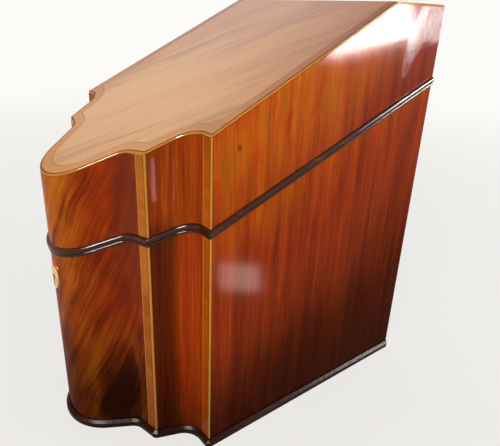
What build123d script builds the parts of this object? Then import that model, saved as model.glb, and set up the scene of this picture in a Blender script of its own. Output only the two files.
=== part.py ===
"""Serpentine-front knife box: carcase, hinged sloping lid, fitted slope, lock and butt hinges.

Millimetres. The front faces -Y, +Z is up, and the origin is the middle of the underside,
halfway between the front corners and the back.
"""
from build123d import *
from math import cos, radians, sin, tan
import os

# ---- Driving dimensions ---------------------------------------------------------------------
CARCASE_WIDTH = 214.0          # across the flat sides
SIDE_DEPTH = 250.0             # flat side, from its front corner to the back
BOX_HEIGHT = 368.0             # level strip at the back of the lid
SEAM_CORNER_HEIGHT = 204.0     # joint of body and lid, at the front corners
SEAM_ANGLE = 21.2              # the joint climbs to the back, degrees
LID_CORNER_HEIGHT = 278.0      # top of the lid at the front corners
LID_ANGLE = 26.3               # the lid climbs to its level strip, degrees
SEAM_GAP = 0.4                 # shut line between lid and body

# Serpentine front, one half, from the corner to the middle of the bow
LIP = 9.5                      # flat beside the corner
COVE_RADIUS, COVE_TURN, COVE_RUN = 21.0, 69.0, 20.0
SHELF, SHELF_ANGLE = 16.0, 13.0
HOLLOW_RADIUS = 16.0
FLANK, FLANK_ANGLE = 22.0, 60.0

BOARD = 10.0                   # carcase and lid walls
BOTTOM = 10.0
TOP_BOARD = 9.0
NOSE_BLOCK = 24.0              # front core at the bow, thick enough for the lock
VENEER = 0.9
STRING = 1.8                   # boxwood stringing at the arrises
BAND = 7.5                     # crossbanding
LINE = 0.8                     # thin light line along a crossbanding

MOULDING_HEIGHT, MOULDING_REACH, MOULDING_BEVEL = 7.0, 3.4, 2.4
LID_BEAD_HEIGHT, LID_BEAD_REACH = 4.6, 2.2
RIM_BEAD_HEIGHT, RIM_BEAD_REACH = 2.4, 1.5

SLOPE_DROP = 9.0               # fitted slope below the rim
SLOPE_BOARD = 8.0
SLOT_WIDTH, SLOT_DEPTH, SLOT_CORNER = 18.0, 28.0, 3.0
SLOT_PITCH, ROW_PITCH = 31.0, 52.0
SLOT_COLUMNS, SLOT_ROWS = 6, 4
FRONT_SLOT_PITCH, FRONT_SLOT_COLUMNS = 33.0, 3
FIRST_ROW_SETBACK = 39.0       # front corner line to the middle of the first full row
FRONT_ROW_REACH = 16.0         # the short row stands this far in front of the corners
CLEAT = 8.0                    # square battens that carry the slope
FRONT_CLEAT_LENGTH = 30.0
BAIZE = 1.0

# ---- Derived places -------------------------------------------------------------------------
HALF = CARCASE_WIDTH / 2
BACK = SIDE_DEPTH / 2
FRONT = -BACK
INNER = HALF - BOARD
RIDGE = FRONT + (BOX_HEIGHT - LID_CORNER_HEIGHT) / tan(radians(LID_ANGLE))
WIDE = 400.0                   # more than any piece is long
MARGIN = 60.0                  # how far the cutting levels run past the box

os.makedirs("parts", exist_ok=True)


def save(piece, name):
    """Label a finished piece and write its file."""
    piece.label = name
    export_step(piece, f"parts/{name}.step")


# ---- Plan of the box ------------------------------------------------------------------------
with BuildSketch() as plan:
    with BuildLine():
        lip = Line((HALF, FRONT), (HALF - LIP, FRONT))
        cove = JernArc(lip @ 1, (-1, 0), COVE_RADIUS, COVE_TURN)
        run = PolarLine(cove @ 1, COVE_RUN, 180 + COVE_TURN)
        shelf = PolarLine(run @ 1, SHELF, 180 + SHELF_ANGLE)
        hollow = JernArc(shelf @ 1, shelf % 1, HOLLOW_RADIUS, FLANK_ANGLE - SHELF_ANGLE)
        flank = PolarLine(hollow @ 1, FLANK, 180 + FLANK_ANGLE)
        bow_radius = (flank @ 1).X / sin(radians(FLANK_ANGLE))
        bow = JernArc(flank @ 1, flank % 1, bow_radius, -FLANK_ANGLE)
        Line((HALF, FRONT), (HALF, BACK))
        Line((HALF, BACK), (0, BACK))
        mirror(about=Plane.YZ)
    make_face()

ARRIS = run @ 1                # inner arris on the right
TIP = (bow @ 1).Y              # foremost point of the bow
CHORD = TIP + NOSE_BLOCK       # flat inner face behind the bow


def inset(amount):
    """The plan, drawn in by amount on every side."""
    with BuildSketch() as smaller:
        add(plan.sketch)
        offset(amount=-amount)
    return smaller.sketch


def outset(amount):
    """A border of the given width outside the front and sides; the back has none."""
    with BuildSketch() as border:
        add(plan.sketch)
        offset(amount=amount, kind=Kind.INTERSECTION)
        add(plan.sketch, mode=Mode.SUBTRACT)
        with Locations((0, BACK + WIDE / 2)):
            Rectangle(WIDE, WIDE, mode=Mode.SUBTRACT)
    return border.sketch


OUTER_CORNERS = [(HALF, FRONT), (-HALF, FRONT)]
INNER_CORNERS = [(ARRIS.X, ARRIS.Y), (-ARRIS.X, ARRIS.Y)]

# ---- Levels ---------------------------------------------------------------------------------
FAR_FRONT, FAR_BACK = TIP - MARGIN, BACK + MARGIN


def seam(y, lift=0.0):
    """Height of the joint of body and lid at y."""
    return SEAM_CORNER_HEIGHT + (y - FRONT) * tan(radians(SEAM_ANGLE)) + lift


def floor_line(height=0.0):
    return [(FAR_FRONT, height), (FAR_BACK, height)]


def seam_line(lift=0.0):
    return [(FAR_FRONT, seam(FAR_FRONT, lift)), (FAR_BACK, seam(FAR_BACK, lift))]


def roof_line(lift=0.0):
    """Three points: the slope, the ridge and the level strip, moved square to the surface."""
    slope = radians(LID_ANGLE)
    ridge_shift = lift * (1 - 1 / cos(slope)) / tan(slope)
    return [(FAR_FRONT, LID_CORNER_HEIGHT + (FAR_FRONT - FRONT) * tan(slope) + lift / cos(slope)),
            (RIDGE + ridge_shift, BOX_HEIGHT + lift), (FAR_BACK, BOX_HEIGHT + lift)]


def between(low, high):
    """Everything between two lines of (y, z) points."""
    with BuildPart() as slab:
        with BuildSketch(Plane.YZ):
            with BuildLine():
                Polyline(*low, *reversed(high), close=True)
            make_face()
        extrude(amount=WIDE, both=True)
    return slab.part


def upright(region, space):
    """A piece that stands on the plan region and fills the given space."""
    with BuildPart() as piece:
        add(region)
        extrude(amount=BOX_HEIGHT + WIDE)
        add(space, mode=Mode.INTERSECT)
    return piece.part


with BuildSketch() as side_plan:
    with Locations(((HALF + INNER) / 2, 0)):
        Rectangle(BOARD, SIDE_DEPTH)
    with Locations(OUTER_CORNERS):
        Circle(STRING, mode=Mode.SUBTRACT)
    with Locations(((HALF + INNER) / 2, FRONT)):
        Rectangle(BOARD, 2 * VENEER, mode=Mode.SUBTRACT)

with BuildSketch() as back_plan:
    with Locations((0, BACK - BOARD / 2)):
        Rectangle(2 * INNER, BOARD)

# Hollow inside the walls; behind the bow it ends at the flat chord of the front core
with BuildSketch() as hollow_plan:
    add(inset(BOARD))
    with Locations((0, CHORD - WIDE / 2)):
        Rectangle(WIDE, WIDE, mode=Mode.SUBTRACT)

with BuildSketch() as core_plan:
    add(inset(VENEER))
    add(hollow_plan.sketch, mode=Mode.SUBTRACT)
    with Locations((0, FRONT + BOARD + WIDE / 2)):
        Rectangle(WIDE, WIDE, mode=Mode.SUBTRACT)
    with Locations((INNER + WIDE / 2, 0), (-INNER - WIDE / 2, 0)):
        Rectangle(WIDE, WIDE, mode=Mode.SUBTRACT)
    with Locations(INNER_CORNERS):
        Circle(STRING, mode=Mode.SUBTRACT)


def stringing_plan(corner_points):
    """Where the plan is within one string's size of a corner."""
    with BuildSketch() as region:
        with Locations(corner_points):
            Circle(STRING)
        add(plan.sketch, mode=Mode.INTERSECT)
    return region.sketch


def front_skin():
    """The veneer of the whole front, in plan, clear of the four strings."""
    with BuildSketch() as skin:
        add(plan.sketch)
        add(inset(VENEER), mode=Mode.SUBTRACT)
        with Locations((0, FRONT + VENEER + WIDE / 2)):
            Rectangle(WIDE, WIDE, mode=Mode.SUBTRACT)
        with Locations(OUTER_CORNERS + INNER_CORNERS):
            Circle(STRING, mode=Mode.SUBTRACT)
    return skin.sketch


def beside_corners(near, far):
    """Stretches of the front beside each arris, between two distances towards the middle."""
    middle, length, across_skin = (near + far) / 2, far - near, 4 * VENEER
    with BuildSketch() as stretch:
        for side in (1, -1):
            with Locations((side * (HALF - middle), FRONT)):
                Rectangle(length, across_skin)
            place = ARRIS + middle * (shelf % 0)
            with Locations((side * place.X, place.Y)):
                Rectangle(length, across_skin, rotation=side * SHELF_ANGLE)
    return stretch.sketch


def front_pieces():
    """Plans of the crossbanding, its light lines, the bow veneer and the two cove veneers."""
    skin = front_skin()
    bands = skin & beside_corners(0, STRING + BAND)
    lines = skin & beside_corners(STRING + BAND, STRING + BAND + LINE)
    fields = skin - beside_corners(0, STRING + BAND + LINE)
    faces = fields.faces().sort_by(Axis.X)
    return bands, lines, Sketch([faces[1]]), Sketch([faces[0], faces[2]])


BAND_PLAN, LINE_PLAN, BOW_PLAN, COVES_PLAN = front_pieces()
OUTER_STRING_PLAN = stringing_plan(OUTER_CORNERS)
INNER_STRING_PLAN = stringing_plan(INNER_CORNERS)


def open_inset(amount):
    """The plan drawn in at the front and sides, but not at the back."""
    with BuildSketch() as smaller:
        add(inset(amount))
        with Locations((0, BACK / 2)):
            Rectangle(2 * (HALF - amount), BACK)
    return smaller.sketch


def ring(outer, inner):
    """A border of the top, between two distances from its edge."""
    return open_inset(outer) - open_inset(inner) if outer else plan.sketch - open_inset(inner)


def depth_band(region, front, back):
    """The part of a plan region between two distances front to back."""
    with BuildSketch() as part_of:
        add(region)
        with Locations((0, (front + back) / 2)):
            Rectangle(WIDE, back - front, mode=Mode.INTERSECT)
    return part_of.sketch


# ---- Lock and link plate: places ------------------------------------------------------------
PLATE = 1.5                    # sheet brass
LOCK_WIDTH, LOCK_DEPTH, LOCK_BELOW_KEY = 40.0, 13.5, 12.0
KEYHOLE_DROP = 25.0            # below the rim at the bow
KEY_HEIGHT = seam(TIP) - KEYHOLE_DROP
LOCK_BOTTOM = KEY_HEIGHT - LOCK_BELOW_KEY
LOCK_BACK = CHORD - PLATE
LOCK_FRONT = LOCK_BACK - LOCK_DEPTH
COVER_WIDTH = 52.0
STAPLE_WIDTH, STAPLE_THICK, STAPLE_REACH, STAPLE_SPREAD = 6.0, 2.4, 10.0, 8.5
STAPLE_CLEAR = 0.8             # round a staple in the top of the lock
LOOP_DROP = 6.4                # middle of a staple's loop below the link plate
LOOP_WIDTH, LOOP_HEIGHT = 3.8, 4.4
FINGER, FINGER_LENGTH = 2.2, 4.0
ARM = 3.0
KEY_RADIUS, KEY_BIT_WIDTH, KEY_BIT_DROP = 2.4, 2.2, 7.5
LINK_LENGTH, LINK_DEPTH, LINK_SCREW_SPREAD = 42.0, 11.0, 16.0
SEAM_TILT = Vector(0, -sin(radians(SEAM_ANGLE)), cos(radians(SEAM_ANGLE)))


def on_seam(x, y, lift=0.0):
    """A plane that lies in the joint of body and lid, its own y axis up the slope."""
    return Plane((x, y, seam(y, lift)), x_dir=(1, 0, 0), z_dir=SEAM_TILT)


STAPLE_Y = LOCK_FRONT + PLATE + STAPLE_CLEAR + STAPLE_WIDTH / 2
LINK_PLANE = on_seam(0, STAPLE_Y, SEAM_GAP)
LOOP_CENTRE = LINK_PLANE.from_local_coords((0, 0, -LOOP_DROP))


def countersunk(locations, head_radius, shank_radius, length):
    """Slotted countersunk screws whose heads lie flush at the locations, pointing down."""
    head_depth = head_radius - shank_radius
    with BuildPart() as screws:
        with Locations(*locations):
            Cylinder(shank_radius, length, align=(Align.CENTER, Align.CENTER, Align.MAX))
            with Locations((0, 0, -head_depth)):
                Cone(shank_radius, head_radius, head_depth,
                     align=(Align.CENTER, Align.CENTER, Align.MIN))
            Box(2 * head_radius, 0.6, 0.8, mode=Mode.SUBTRACT)
    return screws.part


def keyhole(depth):
    """A keyhole through everything in front of the lock, as a cutter."""
    with BuildPart() as cutter:
        with BuildSketch(Plane((0, TIP - depth, KEY_HEIGHT), x_dir=(1, 0, 0), z_dir=(0, 1, 0))):
            Circle(KEY_RADIUS)
            with Locations((0, KEY_BIT_DROP / 2)):
                Rectangle(KEY_BIT_WIDTH, KEY_BIT_DROP)
        extrude(amount=depth + LOCK_FRONT - TIP + PLATE)
    return cutter.part


KEYHOLE = keyhole(5.0)

# ---- Levels of the body and the lid ----------------------------------------------------------
BODY = between(floor_line(), seam_line())
BOTTOM_SPACE = between(floor_line(), floor_line(BOTTOM))
SLOPE_SPACE = between(seam_line(-SLOPE_DROP - SLOPE_BOARD), seam_line(-SLOPE_DROP))
CLEAT_SPACE = between(seam_line(-SLOPE_DROP - SLOPE_BOARD - CLEAT),
                      seam_line(-SLOPE_DROP - SLOPE_BOARD))
TOP_SKIN = between(roof_line(-VENEER), roof_line())

# ---- Lock ------------------------------------------------------------------------------------
with BuildPart() as lock_envelope:
    with BuildSketch(Plane.XY.offset(LOCK_BOTTOM)):
        with Locations((0, LOCK_BACK - LOCK_DEPTH / 2)):
            Rectangle(LOCK_WIDTH, LOCK_DEPTH)
    extrude(amount=WIDE)
    add(BODY, mode=Mode.INTERSECT)

with BuildPart() as lock_hollow:
    with BuildSketch(Plane.XY.offset(LOCK_BOTTOM + PLATE)):
        with Locations((0, LOCK_BACK - (LOCK_DEPTH - PLATE) / 2)):
            Rectangle(LOCK_WIDTH - 2 * PLATE, LOCK_DEPTH - PLATE)
    extrude(amount=WIDE)
    add(between(floor_line(), seam_line(-PLATE)), mode=Mode.INTERSECT)

with BuildPart() as lock_case:
    add(lock_envelope.part)
    add(lock_hollow.part, mode=Mode.SUBTRACT)
    with BuildSketch(on_seam(0, STAPLE_Y)):
        with Locations((-STAPLE_SPREAD, 0), (STAPLE_SPREAD, 0)):
            Rectangle(STAPLE_THICK + 2 * STAPLE_CLEAR, STAPLE_WIDTH + 2 * STAPLE_CLEAR)
    extrude(amount=-3 * PLATE, mode=Mode.SUBTRACT)
    add(KEYHOLE, mode=Mode.SUBTRACT)
save(lock_case.part, "lock_case")

COVER_TOP = seam(LOCK_BACK) - 3.0
COVER_HEIGHT = COVER_TOP - LOCK_BOTTOM + 2.0
COVER_PLANE = Plane((0, CHORD, COVER_TOP - COVER_HEIGHT / 2), x_dir=(-1, 0, 0), z_dir=(0, 1, 0))
cover_screw_places = [COVER_PLANE.location * Location((x, y, 0))
                      for x in (-COVER_WIDTH / 2 + 3, COVER_WIDTH / 2 - 3)
                      for y in (-COVER_HEIGHT / 2 + 4, COVER_HEIGHT / 2 - 4)]
lock_screws = countersunk(cover_screw_places, 2.0, 1.1, 7.0)

with BuildPart() as lock_cover:
    with BuildSketch(COVER_PLANE):
        Rectangle(COVER_WIDTH, COVER_HEIGHT)
    extrude(amount=-PLATE)
    add(lock_screws, mode=Mode.SUBTRACT)
save(lock_cover.part, "lock_cover")
save(lock_screws, "lock_screws")

with BuildPart() as key_post:
    with BuildSketch(Plane((0, LOCK_BACK, KEY_HEIGHT), x_dir=(-1, 0, 0), z_dir=(0, 1, 0))):
        Circle(1.5)
    extrude(amount=-(LOCK_DEPTH - 3 * PLATE))
save(key_post.part, "key_post")

BAR_HEIGHT, BAR_BOTTOM = 8.0, KEY_HEIGHT + 6.0
ARM_LEFT = STAPLE_SPREAD + STAPLE_THICK / 2 + 1.0 + FINGER_LENGTH + ARM
BAR_LENGTH = 2 * STAPLE_SPREAD + ARM
BOLT_PLANE = Plane((0, LOOP_CENTRE.Y + ARM / 2, 0), x_dir=(1, 0, 0), z_dir=(0, -1, 0))
with BuildPart() as lock_bolt:
    with BuildSketch(BOLT_PLANE):
        with Locations((-ARM_LEFT + BAR_LENGTH / 2, BAR_BOTTOM + BAR_HEIGHT / 2)):
            Rectangle(BAR_LENGTH, BAR_HEIGHT)
        with Locations((-ARM_LEFT + BAR_LENGTH / 2, BAR_BOTTOM)):
            Rectangle(6, 5, mode=Mode.SUBTRACT)
        arm_top = LOOP_CENTRE.Z + FINGER / 2
        for left in (-ARM_LEFT, -ARM_LEFT + 2 * STAPLE_SPREAD):
            with Locations((left + ARM / 2, (BAR_BOTTOM + arm_top) / 2)):
                Rectangle(ARM, arm_top - BAR_BOTTOM)
    extrude(amount=ARM)
    for left in (-ARM_LEFT, -ARM_LEFT + 2 * STAPLE_SPREAD):
        with Locations((left + ARM, LOOP_CENTRE.Y, LOOP_CENTRE.Z)):
            Box(FINGER_LENGTH, FINGER, FINGER, align=(Align.MIN, Align.CENTER, Align.CENTER))
save(lock_bolt.part, "lock_bolt")

SPRING_BOW = LOCK_BACK - (LOOP_CENTRE.Y + ARM / 2) - 0.4
with BuildPart() as lock_spring:
    with BuildSketch(Plane.XY.offset(BAR_BOTTOM + 3)):
        with BuildLine():
            outer_leaf = ThreePointArc((-17, LOCK_BACK), (-7, LOCK_BACK - SPRING_BOW), (3, LOCK_BACK))
            inner_leaf = ThreePointArc((-16, LOCK_BACK), (-7, LOCK_BACK - SPRING_BOW + 0.5),
                                       (2, LOCK_BACK))
            Line(outer_leaf @ 0, inner_leaf @ 0)
            Line(outer_leaf @ 1, inner_leaf @ 1)
        make_face()
    extrude(amount=4)
save(lock_spring.part, "lock_spring")

link_screw_places = [LINK_PLANE.location * Location((x, 1, 0), (180, 0, 0))
                     for x in (-LINK_SCREW_SPREAD, LINK_SCREW_SPREAD)]
link_screws = countersunk(link_screw_places, 2.2, 1.2, 9.0)
with BuildPart() as link_plate:
    with BuildSketch(LINK_PLANE):
        with Locations((0, 1)):
            Rectangle(LINK_LENGTH, LINK_DEPTH)
    extrude(amount=PLATE)
    add(link_screws, mode=Mode.SUBTRACT)
    with BuildSketch(LINK_PLANE):
        with Locations((-STAPLE_SPREAD, 0), (STAPLE_SPREAD, 0)):
            Rectangle(STAPLE_THICK, STAPLE_WIDTH)
    extrude(amount=-STAPLE_REACH)
    with Locations(LINK_PLANE.location * Location((0, 0, -LOOP_DROP))):
        Box(4 * STAPLE_SPREAD, LOOP_WIDTH, LOOP_HEIGHT, mode=Mode.SUBTRACT)
save(link_plate.part, "link_plate")
save(link_screws, "link_screws")

# ---- Escutcheon ------------------------------------------------------------------------------
ESCUTCHEON_THICK, ESCUTCHEON_WIDTH, ESCUTCHEON_HEIGHT = 1.3, 13.5, 22.0
PIN_SPREAD, PIN_HEAD = 9.2, 0.7
BOW_AXIS = (0, TIP + bow_radius)
pin_places = [(0, -PIN_SPREAD), (0, PIN_SPREAD)]
ESCUTCHEON_PLANE = Plane((0, TIP - 6, KEY_HEIGHT), x_dir=(1, 0, 0), z_dir=(0, -1, 0))
with BuildPart() as escutcheon_pins:
    with BuildSketch(ESCUTCHEON_PLANE.offset(-6 + ESCUTCHEON_THICK)):
        with Locations(pin_places):
            Circle(PIN_HEAD)
    extrude(amount=-5)
    fillet(escutcheon_pins.faces().filter_by(Axis.Y).group_by(Axis.Y)[0].edges(), 0.3)
with BuildPart() as escutcheon:
    with BuildSketch(Plane.XY.offset(KEY_HEIGHT - 20)):
        with Locations(BOW_AXIS):
            Circle(bow_radius + ESCUTCHEON_THICK)
            Circle(bow_radius, mode=Mode.SUBTRACT)
    extrude(amount=40)
    with BuildSketch(ESCUTCHEON_PLANE):
        Ellipse(ESCUTCHEON_WIDTH / 2, ESCUTCHEON_HEIGHT / 2)
    extrude(amount=-12, mode=Mode.INTERSECT)
    add(KEYHOLE, mode=Mode.SUBTRACT)
    add(escutcheon_pins.part, mode=Mode.SUBTRACT)
save(escutcheon.part, "escutcheon")
save(escutcheon_pins.part, "escutcheon_pins")

# ---- Hinges ----------------------------------------------------------------------------------
HINGE_LENGTH, HINGE_SPREAD = 38.0, 60.0
LEAF, LEAF_REACH = 1.6, 9.0
BARREL_RADIUS, BARREL_OFFSET, PIN_RADIUS, PIN_CLEAR = 3.0, 3.9, 1.3, 0.05
KNUCKLES, KNUCKLE_GAP = 3, 0.3
SCREW_SETBACK, SCREW_LENGTH = 5.6, 8.0
HINGE_SIDES = {"left": -HINGE_SPREAD, "right": HINGE_SPREAD}


def hinge_plane(x):
    """Plane midway in the shut line at the back edge, its y axis up the slope."""
    return on_seam(x, BACK, SEAM_GAP / 2)


def across(plane, x, y, z=0.0):
    """A plane square to the hinge axis, at a place given in the hinge plane."""
    return Plane(plane.from_local_coords((x, y, z)), x_dir=plane.y_dir, z_dir=plane.x_dir)


def hinge_leaf(plane, upper):
    """One leaf with its knuckles: the outer two below, the middle one above."""
    pitch = HINGE_LENGTH / KNUCKLES
    mine = [i for i in range(KNUCKLES) if (i % 2 == 1) == upper]
    others = [i for i in range(KNUCKLES) if i not in mine]
    side = 1 if upper else -1
    face = plane.offset(side * SEAM_GAP / 2)
    with BuildPart() as leaf:
        with BuildSketch(face):
            with Locations((0, (BARREL_OFFSET - LEAF_REACH) / 2)):
                Rectangle(HINGE_LENGTH, LEAF_REACH + BARREL_OFFSET)
        extrude(amount=side * LEAF)
        for i in mine:
            start = -HINGE_LENGTH / 2 + i * pitch + (KNUCKLE_GAP / 2 if i else 0)
            length = pitch - KNUCKLE_GAP / (1 if 0 < i < KNUCKLES - 1 else 2)
            with BuildSketch(across(plane, start, BARREL_OFFSET)):
                Circle(BARREL_RADIUS)
            extrude(amount=length)
        for i in others:
            start = -HINGE_LENGTH / 2 + i * pitch - KNUCKLE_GAP / 2
            with BuildSketch(across(plane, start, BARREL_OFFSET)):
                Circle(BARREL_RADIUS + KNUCKLE_GAP)
            extrude(amount=pitch + KNUCKLE_GAP, mode=Mode.SUBTRACT)
        with BuildSketch(across(plane, -HINGE_LENGTH, BARREL_OFFSET)):
            Circle(PIN_RADIUS + PIN_CLEAR)
        extrude(amount=2 * HINGE_LENGTH, mode=Mode.SUBTRACT)
    return leaf.part


def hinge_screw_places(plane, upper):
    side = 1 if upper else -1
    turn = (180, 0, 0) if upper else (0, 0, 0)
    return [plane.location * Location((x, -SCREW_SETBACK, side * SEAM_GAP / 2), turn)
            for x in (-12.5, 0, 12.5)]


body_screw_places, lid_screw_places = [], []
for hinge_x in HINGE_SIDES.values():
    body_screw_places += hinge_screw_places(hinge_plane(hinge_x), False)
    lid_screw_places += hinge_screw_places(hinge_plane(hinge_x), True)
hinge_body_screws = countersunk(body_screw_places, 2.6, 1.3, SCREW_LENGTH)
hinge_lid_screws = countersunk(lid_screw_places, 2.6, 1.3, SCREW_LENGTH)
save(hinge_body_screws, "hinge_body_screws")
save(hinge_lid_screws, "hinge_lid_screws")

body_leaves, lid_leaves = [], []
for hinge_name, hinge_x in HINGE_SIDES.items():
    plane = hinge_plane(hinge_x)
    for leaves, upper, label, screws in (
            (body_leaves, False, "body_leaf", hinge_body_screws),
            (lid_leaves, True, "lid_leaf", hinge_lid_screws)):
        with BuildPart() as leaf:
            add(hinge_leaf(plane, upper))
            add(screws, mode=Mode.SUBTRACT)
        leaves.append(leaf.part)
        save(leaf.part, f"{hinge_name}_hinge_{label}")

with BuildPart() as hinge_pins:
    for hinge_x in HINGE_SIDES.values():
        with BuildSketch(across(hinge_plane(hinge_x), -HINGE_LENGTH / 2, BARREL_OFFSET)):
            Circle(PIN_RADIUS)
        extrude(amount=HINGE_LENGTH)
save(hinge_pins.part, "hinge_pins")

# ---- Body: boards ----------------------------------------------------------------------------
with BuildPart() as bottom_board:
    add(upright(hollow_plan.sketch, BOTTOM_SPACE))
save(bottom_board.part, "bottom_board")

with BuildPart() as back_board:
    add(upright(back_plan.sketch, BODY))
    for fitting in body_leaves + [hinge_body_screws]:
        add(fitting, mode=Mode.SUBTRACT)
save(back_board.part, "back_board")

with BuildPart() as right_side:
    add(upright(side_plan.sketch, BODY))
save(right_side.part, "right_side")
with BuildPart() as left_side:
    mirror(right_side.part, about=Plane.YZ)
save(left_side.part, "left_side")

with BuildPart() as front_core:
    add(upright(core_plan.sketch, BODY))
    for fitting in (lock_envelope.part, lock_cover.part, lock_screws, KEYHOLE, escutcheon_pins.part):
        add(fitting, mode=Mode.SUBTRACT)
save(front_core.part, "front_core")

with BuildPart() as floor_baize:
    add(upright(depth_band(inset(BOARD + 1), CHORD + 1, BACK),
                between(floor_line(BOTTOM), floor_line(BOTTOM + BAIZE))))
save(floor_baize.part, "floor_baize")

# ---- Body: veneers, stringing and mouldings ---------------------------------------------------
with BuildPart() as bow_veneer:
    add(upright(BOW_PLAN, BODY))
    add(KEYHOLE, mode=Mode.SUBTRACT)
    add(escutcheon_pins.part, mode=Mode.SUBTRACT)
save(bow_veneer.part, "bow_veneer")
save(upright(COVES_PLAN, BODY), "cove_veneers")
save(upright(BAND_PLAN, BODY), "front_crossbanding")
save(upright(LINE_PLAN, BODY), "front_lines")
save(upright(OUTER_STRING_PLAN, BODY), "outer_stringing")
save(upright(INNER_STRING_PLAN, BODY), "inner_stringing")


def outer_edges(border, reach):
    """The long edges of a moulding that stand away from the box, lower ones first."""
    footprint = plan.sketch.faces()[0]

    def stands_out(edge):
        middle = edge @ 0.5
        return Vertex(middle.X, middle.Y, 0).distance_to(footprint) > 0.9 * reach

    edges = border.edges().filter_by(stands_out).filter_by(lambda edge: edge.length > 5.0)
    lower = [e for e in edges if Vertex(*(e @ 0.5 + Vector(0, 0, 0.5))).distance_to(border) < 0.1]
    upper = [e for e in edges if Vertex(*(e @ 0.5 - Vector(0, 0, 0.5))).distance_to(border) < 0.1]
    return ShapeList(lower), ShapeList(upper)


def moulding(reach, low, high, lower_round, upper_round, bevel=0.0):
    """A moulding planted on the front and sides: an optional bevel above, then rounded edges."""
    with BuildPart() as border:
        add(upright(outset(reach), between(low, high)))
        if bevel:
            chamfer(outer_edges(border.part, reach)[1], bevel)
        fillet(outer_edges(border.part, reach)[1], upper_round)
        fillet(outer_edges(border.part, reach)[0], lower_round)
    return border.part


def mitred(border):
    """Cut a moulding along its two mitres into left, front and right pieces."""
    with BuildSketch() as front_zone:
        with BuildLine():
            Polyline((HALF, FRONT), (HALF + MARGIN, FRONT - MARGIN), (HALF + MARGIN, 2 * TIP),
                     (-HALF - MARGIN, 2 * TIP), (-HALF - MARGIN, FRONT - MARGIN), (-HALF, FRONT),
                     close=True)
        make_face()
    zone = extrude(front_zone.sketch, amount=BOX_HEIGHT)
    left_piece, right_piece = (border - zone).solids().sort_by(Axis.X)
    return left_piece, (border & zone).solids()[0], right_piece


base_moulding = moulding(MOULDING_REACH, floor_line(), floor_line(MOULDING_HEIGHT), 0.8, 1.2,
                         MOULDING_BEVEL)
for piece, place in zip(mitred(base_moulding), ("left", "front", "right")):
    save(piece, f"base_moulding_{place}")
rim_bead = moulding(RIM_BEAD_REACH, seam_line(-RIM_BEAD_HEIGHT), seam_line(), 0.7, 0.8)
save(Compound(children=mitred(rim_bead)), "rim_bead")
lid_bead = moulding(LID_BEAD_REACH, seam_line(SEAM_GAP), seam_line(SEAM_GAP + LID_BEAD_HEIGHT), 1.2, 1.6)
save(Compound(children=mitred(lid_bead)), "lid_bead")

# ---- Body: fitted slope ------------------------------------------------------------------------
FIRST_ROW = FRONT + FIRST_ROW_SETBACK
row_middles = [FIRST_ROW + i * ROW_PITCH for i in range(SLOT_ROWS)]
slot_places = [((column - (SLOT_COLUMNS - 1) / 2) * SLOT_PITCH, y)
               for y in row_middles for column in range(SLOT_COLUMNS)]
slot_places += [((column - (FRONT_SLOT_COLUMNS - 1) / 2) * FRONT_SLOT_PITCH, FRONT - FRONT_ROW_REACH)
                for column in range(FRONT_SLOT_COLUMNS)]
joints = [CHORD] + [FIRST_ROW + (i - 0.5) * ROW_PITCH for i in range(SLOT_ROWS)] + [BACK]
with BuildSketch() as slope_plan:
    add(hollow_plan.sketch)
    with Locations(slot_places):
        RectangleRounded(SLOT_WIDTH, SLOT_DEPTH, SLOT_CORNER, mode=Mode.SUBTRACT)
for number, (front, back) in enumerate(zip(joints, joints[1:]), start=1):
    save(upright(depth_band(slope_plan.sketch, front, back), SLOPE_SPACE), f"slope_board_{number}")

with BuildSketch() as side_cleat_plan:
    with Locations((-INNER + CLEAT / 2, 0), (INNER - CLEAT / 2, 0)):
        Rectangle(CLEAT, SIDE_DEPTH - 2 * BOARD)
save(upright(side_cleat_plan.sketch, CLEAT_SPACE), "side_cleats")
with BuildSketch() as back_cleat_plan:
    with Locations((0, BACK - BOARD - CLEAT / 2)):
        Rectangle(2 * (INNER - CLEAT), CLEAT)
save(upright(back_cleat_plan.sketch, CLEAT_SPACE), "back_cleat")
with BuildSketch() as front_cleat_plan:
    with Locations((0, CHORD + CLEAT / 2)):
        Rectangle(FRONT_CLEAT_LENGTH, CLEAT)
save(upright(front_cleat_plan.sketch, CLEAT_SPACE), "front_cleat")

# ---- Lid -----------------------------------------------------------------------------------
with BuildPart() as lid_top_string:
    add(upright(ring(0, STRING), between(roof_line(-STRING), roof_line())))
save(lid_top_string.part, "lid_top_string")

with BuildPart() as lid_walls:
    add(between(seam_line(SEAM_GAP), roof_line(-VENEER)))
    add(upright(ring(0, STRING), between(roof_line(-STRING), roof_line())), mode=Mode.SUBTRACT)
LID = lid_walls.part

with BuildPart() as lid_back_board:
    add(upright(back_plan.sketch, LID))
    for fitting in lid_leaves + [hinge_lid_screws]:
        add(fitting, mode=Mode.SUBTRACT)
save(lid_back_board.part, "lid_back_board")

with BuildPart() as lid_right_side:
    add(upright(side_plan.sketch, LID))
save(lid_right_side.part, "lid_right_side")
with BuildPart() as lid_left_side:
    mirror(lid_right_side.part, about=Plane.YZ)
save(lid_left_side.part, "lid_left_side")

with BuildPart() as lid_front_core:
    add(upright(core_plan.sketch, LID))
    add(link_plate.part, mode=Mode.SUBTRACT)
    add(link_screws, mode=Mode.SUBTRACT)
save(lid_front_core.part, "lid_front_core")

TOP_BOARD_SPACE = between(roof_line(-VENEER - TOP_BOARD), roof_line(-VENEER))
save(upright(depth_band(hollow_plan.sketch, CHORD, RIDGE), TOP_BOARD_SPACE), "lid_top_board")
save(upright(depth_band(hollow_plan.sketch, RIDGE, BACK), TOP_BOARD_SPACE), "lid_rear_board")

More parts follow.
